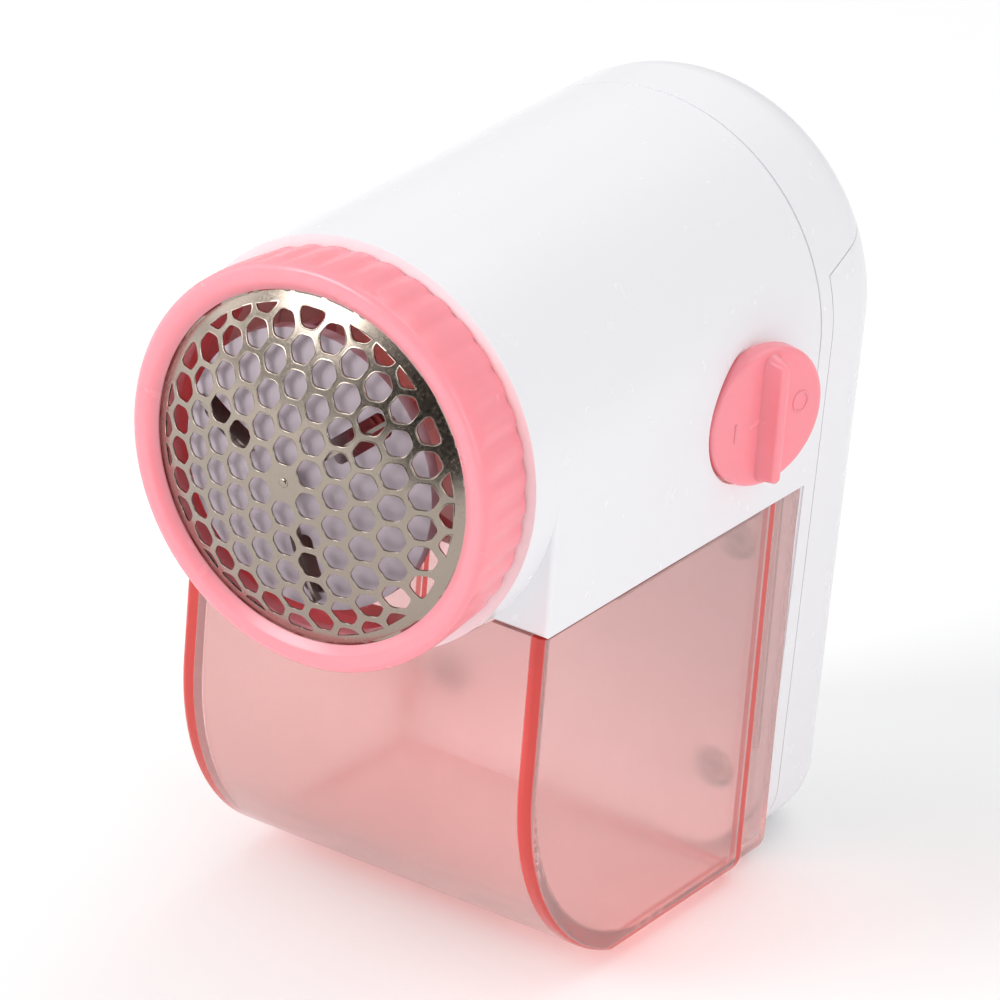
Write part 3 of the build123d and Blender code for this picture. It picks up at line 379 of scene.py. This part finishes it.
def hole_centres():
    """Upright columns of holes, every other one half a pitch higher, and none in the middle."""
    column_step = HOLE_PITCH * math.sqrt(3) / 2
    turn = Matrix.Rotation(HOLE_TURN, 2)
    for column in range(-6, 7):
        for row in range(-6, 7):
            centre = turn @ Vector((column_step * column, HOLE_PITCH * (row + 0.5 * (column % 2))))
            if 1 < centre.length < HOLE_FIELD_R + SLIVER:
                yield centre


def hole_outline(centre, grow, size):
    """Rounded hexagon with flat sides towards its neighbours, cut off where the pattern ends."""
    corner_r = (HOLE_HALF * size + grow) / math.cos(math.pi / 6)
    corners = [(corner_r * math.cos(HOLE_TURN + TAU * k / 6), corner_r * math.sin(HOLE_TURN + TAU * k / 6),
                HOLE_CORNER + grow) for k in range(6)]
    outline = []
    for point in rounded(corners, 4):
        point = point + centre
        if point.length > HOLE_FIELD_R + grow:
            point = point.normalized() * (HOLE_FIELD_R + grow)
        outline.append(point)
    return outline


def foil_piece():
    """Perforated dome: webs between the holes, a small rolled rim round each, and both faces."""
    bm = bmesh.new()
    normals = []
    chance = random.Random(4)
    holes = [(centre, chance.uniform(0.97, 1.03)) for centre in hole_centres()]

    def ring(points, lift, back, lean=0.0, centre=Vector((0, 0))):
        made = []
        for point in points:
            made.append(bm.verts.new((point.x, point.y, -FOIL_THICK if back else lift)))
            normal = dome_normal(point.x, point.y)
            inward = (centre - point).normalized() * lean
            normal = normal * (-1 if back else 1) + Vector((inward.x, 0, inward.y))
            normals.append(normal.normalized())
        return made

    def circle(radius, count=180):
        return [Vector((radius * math.cos(TAU * k / count), radius * math.sin(TAU * k / count)))
                for k in range(count)]

    edges_front_back = []
    outer = []
    for back in (False, True):
        fill_rings = []
        hole_edges = []
        for centre, size in holes:
            rings = [ring(hole_outline(centre, grow, size), lift, back, lean, centre)
                     for grow, lift, lean in RIM_STEPS]
            grid_faces(bm, rings, closed=False)
            fill_rings.append(rings[0])
            hole_edges.append(rings[-1])
        band = [ring(circle(radius), 0, back) for radius in BAND_RADII]
        grid_faces(bm, band, closed=False)
        fill_rings.append(band[0])
        edges = []
        for loop in fill_rings:
            for first, second in zip(loop, loop[1:] + loop[:1]):
                edges.append(bm.edges.get((first, second)))
        bmesh.ops.triangle_fill(bm, use_beauty=True, use_dissolve=False, edges=edges, normal=(0, 0, 1))
        edges_front_back.append(hole_edges)
        outer.append(band[-1])
    for front, rear in zip(*edges_front_back):
        grid_faces(bm, [front, rear], closed=False)
    grid_faces(bm, outer, closed=False)
    for vertex in bm.verts:
        x, y, lift = vertex.co
        vertex.co = seat(x, y, dome(math.hypot(x, y)) + lift)
    bmesh.ops.recalc_face_normals(bm, faces=bm.faces)
    piece_from("foil_dome", bm, "foil_steel", "head", ["foil"], normals=normals)


def foil_pip():
    """Small punched pip in the middle of the foil."""
    bm = bmesh.new()
    steps = [(0.62, -0.02), (0.60, 0.02), (0.50, 0.09), (0.34, 0.15), (0.15, 0.18)]
    capped_loft(bm, [(disc_points(radius, 32), FOIL_SAG + lift) for radius, lift in steps], seat)
    piece_from("foil_pip", bm, "foil_steel", "head", sharp=60)


foil_piece()
foil_pip()

# ---------------------------------------------------------------- guard ring
SCALLOPS = 40
SCALLOP_DEEP = 0.28
SCALLOP_WIDE = 0.80        # share of the pitch
SCALLOPED_R = 24.3         # only the ring's outer band is scalloped
SCALLOP_RUN_IN = 1.3       # they reach their full depth this far back
BAND_FRONT = 0.5           # where the finger scallops start, forward of the foil's rim
RING_PROFILE = (           # radius, forward, corner radius
    (22.03, 0.05, 0.02), (22.03, 0.28, 0.1), (23.3, 1.16, 1.5), (25.42, 1.22, 2.0),
    (25.42, -1.6, 1.2), (25.3, -3.4, 0), (25.18, -5.0, 0), (25.05, -6.6, 0), (24.95, -7.7, 0),
    (24.85, -8.35, 0.35), (23.7, -8.35, 0.1), (23.7, -13.4, 0.2), (22.4, -13.4, 0.2), (22.4, -8.8, 0.1),
    (23.1, -7.8, 0.1), (23.1, -3.9, 0.1), (22.4, -3.6, 0.1), (22.4, -2.7, 0.1), (23.1, -2.7, 0.1),
    (23.1, 0.05, 0.02))


def scalloped(radius, forward, angle):
    """Presses the finger scallops into the ring's outer band."""
    if radius < SCALLOPED_R or forward > BAND_FRONT:
        return radius, forward
    turn = (angle * SCALLOPS / TAU) % 1.0 - 0.5
    if abs(turn) > SCALLOP_WIDE / 2:
        return radius, forward
    across_it = math.cos(math.pi * turn / SCALLOP_WIDE) ** 2
    start = min(1.0, max(0.0, (BAND_FRONT - forward) / SCALLOP_RUN_IN))
    return radius - SCALLOP_DEEP * across_it * start * start * (3 - 2 * start), forward


piece_from("guard_ring_body", lathe(rounded(RING_PROFILE, 5), SCALLOPS * 12, scalloped), "pink", "guard_ring",
           ["guard_ring"], sharp=50)

THREAD_LEAD, THREAD_STARTS = 9.0, 3
THREAD_ARC = math.radians(100)
THREAD_STEPS = 40
THREAD_FRONT = -13.0
THREAD_SECTION = ((23.5, -0.45), (24.15, -0.25), (24.15, 0.25), (23.5, 0.45))      # radius, forward


def ring_threads():
    """Three helical ridges on the ring's hidden skirt."""
    bm = bmesh.new()
    for start in range(THREAD_STARTS):
        rings = []
        for step in range(THREAD_STEPS + 1):
            turn = step / THREAD_STEPS * THREAD_ARC
            angle = turn + TAU * (start + 0.5) / THREAD_STARTS
            climb = THREAD_FRONT + THREAD_LEAD * turn / TAU
            rings.append([bm.verts.new(seat(r * math.cos(angle), r * math.sin(angle), climb + f))
                          for r, f in THREAD_SECTION])
        grid_faces(bm, rings, closed=False)
        bm.faces.new(rings[0])
        bm.faces.new(rings[-1])
    piece_from("guard_ring_threads", bm, "pink", "guard_ring")


ring_threads()

# ---------------------------------------------------------------- switch dial
DIAL_R, DIAL_T, DIAL_EDGE_R = 9.1, 2.4, 0.7
BAR_LONG, BAR_WIDE, BAR_PROUD = 16.8, 2.4, 2.6
BAR_TAPER = 0.45           # each flank leans in by this much
BAR_EDGE_R = 0.5
STEM_R, STEM_END = 2.95, -9.6
OFF_MARK, ON_MARK = (5.3, 0.9), (-5.2, -0.9)      # middles of the ring and the bar on the dial's face
MARK_RING_R, MARK_RING_TALL, MARK_WIRE_R = 1.15, 1.15, 0.17
dial_right = Vector((0, 0, 1)).cross(DIAL_NORMAL).normalized()
DIAL_FRAME = Matrix((dial_right, Vector((0, 0, 1)), DIAL_NORMAL)).transposed().to_4x4()
DIAL_FRAME.translation = DIAL_CENTRE


def dial_seat(x, y, out):
    """Point of the dial: x to the right and y up on its face, out from its face, in millimetres."""
    return DIAL_FRAME @ (Vector((x, y, out)) * MM)


def slot_points(long, wide, count=12):
    """Upright bar with round ends."""
    half = long / 2 - wide / 2
    ends = []
    for sign in (1, -1):
        for k in range(count + 1):
            angle = math.pi * k / count
            ends.append((sign * wide / 2 * math.cos(angle), sign * (half + wide / 2 * math.sin(angle))))
    return ends


def dial_piece():
    """Disc with a rounded edge, and the finger bar that stands across it."""
    bm = bmesh.new()
    quarter = [math.pi / 2 * k / 5 for k in range(6)]
    disc = [(disc_points(DIAL_R - 0.2), -DIAL_T), (disc_points(DIAL_R), -DIAL_T + 0.2)]
    disc += [(disc_points(DIAL_R - DIAL_EDGE_R + math.cos(turn) * DIAL_EDGE_R),
              math.sin(turn) * DIAL_EDGE_R - DIAL_EDGE_R) for turn in quarter]
    disc += [(disc_points(DIAL_R * share), 0.0) for share in (0.88, 0.6)]
    capped_loft(bm, disc, dial_seat)
    bar = [(slot_points(BAR_LONG + 0.3, BAR_WIDE + 0.5), -0.02), (slot_points(BAR_LONG, BAR_WIDE + 0.15), 0.25)]
    top_long, top_wide = BAR_LONG - 2 * BAR_TAPER, BAR_WIDE - 2 * BAR_TAPER
    for turn in quarter:
        shrink = BAR_EDGE_R * (1 - math.cos(turn))
        bar.append((slot_points(top_long - 2 * shrink, top_wide - 2 * shrink),
                    BAR_PROUD - BAR_EDGE_R + BAR_EDGE_R * math.sin(turn)))
    capped_loft(bm, bar, dial_seat)
    piece_from("dial_disc", bm, "pink", "dial", ["dial_knob"], sharp=40)


def dial_stem():
    """Stem that carries the dial's turn to the cam inside the barrel."""
    bm = bmesh.new()
    capped_loft(bm, [(disc_points(STEM_R, 48), STEM_END), (disc_points(STEM_R, 48), -DIAL_T + 0.1)], dial_seat)
    piece_from("dial_stem", bm, "pink", "dial")


def dial_marks():
    """Plain off and on marks, raised from the dial's face: a ring and a bar."""
    bm = bmesh.new()
    rings = []
    for k in range(48):
        angle = TAU * k / 48
        outward = Vector((math.cos(angle), math.sin(angle), 0))
        centre = Vector((OFF_MARK[0] + MARK_RING_R * outward.x,
                         OFF_MARK[1] + MARK_RING_R * MARK_RING_TALL * outward.y, 0))
        rings.append([bm.verts.new(dial_seat(*(centre + (outward * math.cos(t) + Vector((0, 0, math.sin(t))))
                                               * MARK_WIRE_R))) for t in (TAU * j / 10 for j in range(10))])
    grid_faces(bm, rings)
    low, top = ([(x + ON_MARK[0], y + ON_MARK[1]) for x, y in slot_points(long, wide, 6)]
                for long, wide in ((2.6, 0.42), (2.35, 0.22)))
    capped_loft(bm, [(low, -0.05), (low, 0.08), (top, 0.17)], dial_seat)
    piece_from("dial_marks", bm, "pink", "dial")


dial_piece()
dial_stem()
dial_marks()

# ---------------------------------------------------------------- pressure spring
SPRING_WIRE_R = 0.25 * MM
SPRING_TURNS, TURN_STEPS = 4, 36
SPRING_STEPS = SPRING_TURNS * TURN_STEPS


def pressure_coil():
    """Spring between the hub and the cutter."""
    low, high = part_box("pressure_spring")
    radius = (high.x - low.x) / 2 - SPRING_WIRE_R
    bm = bmesh.new()
    coil_start, coil_length = low.y + SPRING_WIRE_R, high.y - low.y - 2 * SPRING_WIRE_R
    rings = []
    for step in range(SPRING_STEPS + 1):
        angle = TAU * step / TURN_STEPS
        outward = Vector((math.cos(angle), 0, math.sin(angle)))
        centre = Vector((0, coil_start + coil_length * step / SPRING_STEPS, AXIS_Z)) + outward * radius
        rings.append([bm.verts.new(centre + (outward * math.cos(t) + Vector((0, math.sin(t), 0)))
                                   * SPRING_WIRE_R) for t in (TAU * k / 10 for k in range(10))])
    grid_faces(bm, rings, closed=False)
    bm.faces.new(rings[0])
    bm.faces.new(rings[-1])
    piece = piece_from("pressure_coil", bm, "spring_steel", "rotor", ["pressure_spring"])
    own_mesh(piece)


pressure_coil()

# ---------------------------------------------------------------- camera, floor and light
AZIMUTH, ELEVATION, ROLL = (math.radians(angle) for angle in (31.99, 25.63, 4.74))
LENS_MM = 278.9
DISTANCE = 0.9079
AIM_RIGHT, AIM_UP = 22.09 * MM, -3.81 * MM   # where the camera aims: its offset from the foil's centre

back = Vector((math.sin(AZIMUTH) * math.cos(ELEVATION), -math.cos(AZIMUTH) * math.cos(ELEVATION),
               math.sin(ELEVATION)))
level = Vector((math.cos(AZIMUTH), math.sin(AZIMUTH), 0))
upright = back.cross(level)
across = level * math.cos(ROLL) + upright * math.sin(ROLL)
along = upright * math.cos(ROLL) - level * math.sin(ROLL)
camera = bpy.data.objects.new("camera", bpy.data.cameras.new("camera"))
camera.data.lens = LENS_MM
camera.data.clip_start, camera.data.clip_end = 0.01, 50
camera.matrix_world = Matrix.Translation(RIM_CENTRE + back * DISTANCE + across * AIM_RIGHT + along * AIM_UP) @ (
    Matrix((across, along, back)).transposed().to_4x4())
bpy.context.scene.collection.objects.link(camera)
bpy.context.scene.camera = camera

FLOOR_HALF = 6.0


def floor_piece():
    """Plain pale floor, just under the shaver."""
    bm = bmesh.new()
    bmesh.ops.create_grid(bm, x_segments=12, y_segments=12, size=FLOOR_HALF)
    mesh = bpy.data.meshes.new("floor")
    bm.to_mesh(mesh)
    bm.free()
    floor = bpy.data.objects.new("floor", mesh)
    floor.location.z = -0.02 * MM
    material, tree, shader = base_material("floor", Roughness=0.9)
    link(tree, mottle(tree, noise(tree, 2, 2), (0.965, 0.965, 0.965), (0.955, 0.955, 0.955)),
         shader.inputs["Base Color"])
    mesh.materials.append(material)
    bpy.context.scene.collection.objects.link(floor)


floor_piece()

LIT_POINT = Vector((0, -0.03, 0.05))


def softbox(name, place, size, watts):
    """Square area light that faces the middle of the object."""
    light = bpy.data.lights.new(name, "AREA")
    light.size = size
    light.energy = watts
    lamp = bpy.data.objects.new(name, light)
    lamp.location = place
    lamp.rotation_euler = (LIT_POINT - lamp.location).to_track_quat("-Z", "Y").to_euler()
    bpy.context.scene.collection.objects.link(lamp)


softbox("key", (-0.50, -0.85, 0.62), 0.5, 6.3)
softbox("fill", (0.72, -0.42, 0.36), 0.5, 2.0)
softbox("side", (-0.85, -0.30, 0.35), 0.6, 1.6)
softbox("top", (0.1, 0.35, 0.9), 0.6, 1.9)

FLAG_HALF, FLAG_AWAY = 0.075, 0.30
FLAG_TOWARDS = Vector((0.37, -0.92, -0.03)).normalized()


def dark_flag():
    """Black card in front of the head that only mirror rays see, so the steel foil has a dark side."""
    bm = bmesh.new()
    bmesh.ops.create_grid(bm, x_segments=4, y_segments=4, size=FLAG_HALF)
    mesh = bpy.data.meshes.new("dark_flag")
    bm.to_mesh(mesh)
    bm.free()
    flag = bpy.data.objects.new("dark_flag", mesh)
    flag.location = RIM_CENTRE + FLAG_TOWARDS * FLAG_AWAY
    flag.rotation_euler = FLAG_TOWARDS.to_track_quat("Z", "Y").to_euler()
    material, tree, shader = base_material("dark_flag", Roughness=0.9)
    link(tree, mottle(tree, noise(tree, 8, 2), (0.012, 0.010, 0.009), (0.02, 0.017, 0.015)),
         shader.inputs["Base Color"])
    mesh.materials.append(material)
    flag.visible_camera = flag.visible_diffuse = flag.visible_transmission = flag.visible_shadow = False
    bpy.context.scene.collection.objects.link(flag)


dark_flag()


def studio_world():
    """Even white surroundings with a dark patch behind the camera, which the steel foil mirrors."""
    studio = bpy.data.worlds.new("studio")
    studio.use_nodes = True
    tree = studio.node_tree
    background = tree.nodes["Background"]
    background.inputs["Strength"].default_value = 0.62
    place = tree.nodes.new("ShaderNodeTexCoord")
    facing = add_node(tree, "ShaderNodeVectorMath", operation="DOT_PRODUCT")
    facing.inputs[1].default_value = Vector((0.305, -0.943, 0.12)).normalized()
    link(tree, place.outputs["Generated"], facing.inputs[0])
    patch = ramp(tree, facing.outputs["Value"], 0.80, 0.97)
    link(tree, mottle(tree, patch, (1, 1, 1), (0.06, 0.05, 0.045)), background.inputs["Color"])
    bpy.context.scene.world = studio


studio_world()
bpy.context.scene.view_settings.view_transform = "Standard"
bpy.context.scene.view_settings.look = "None"
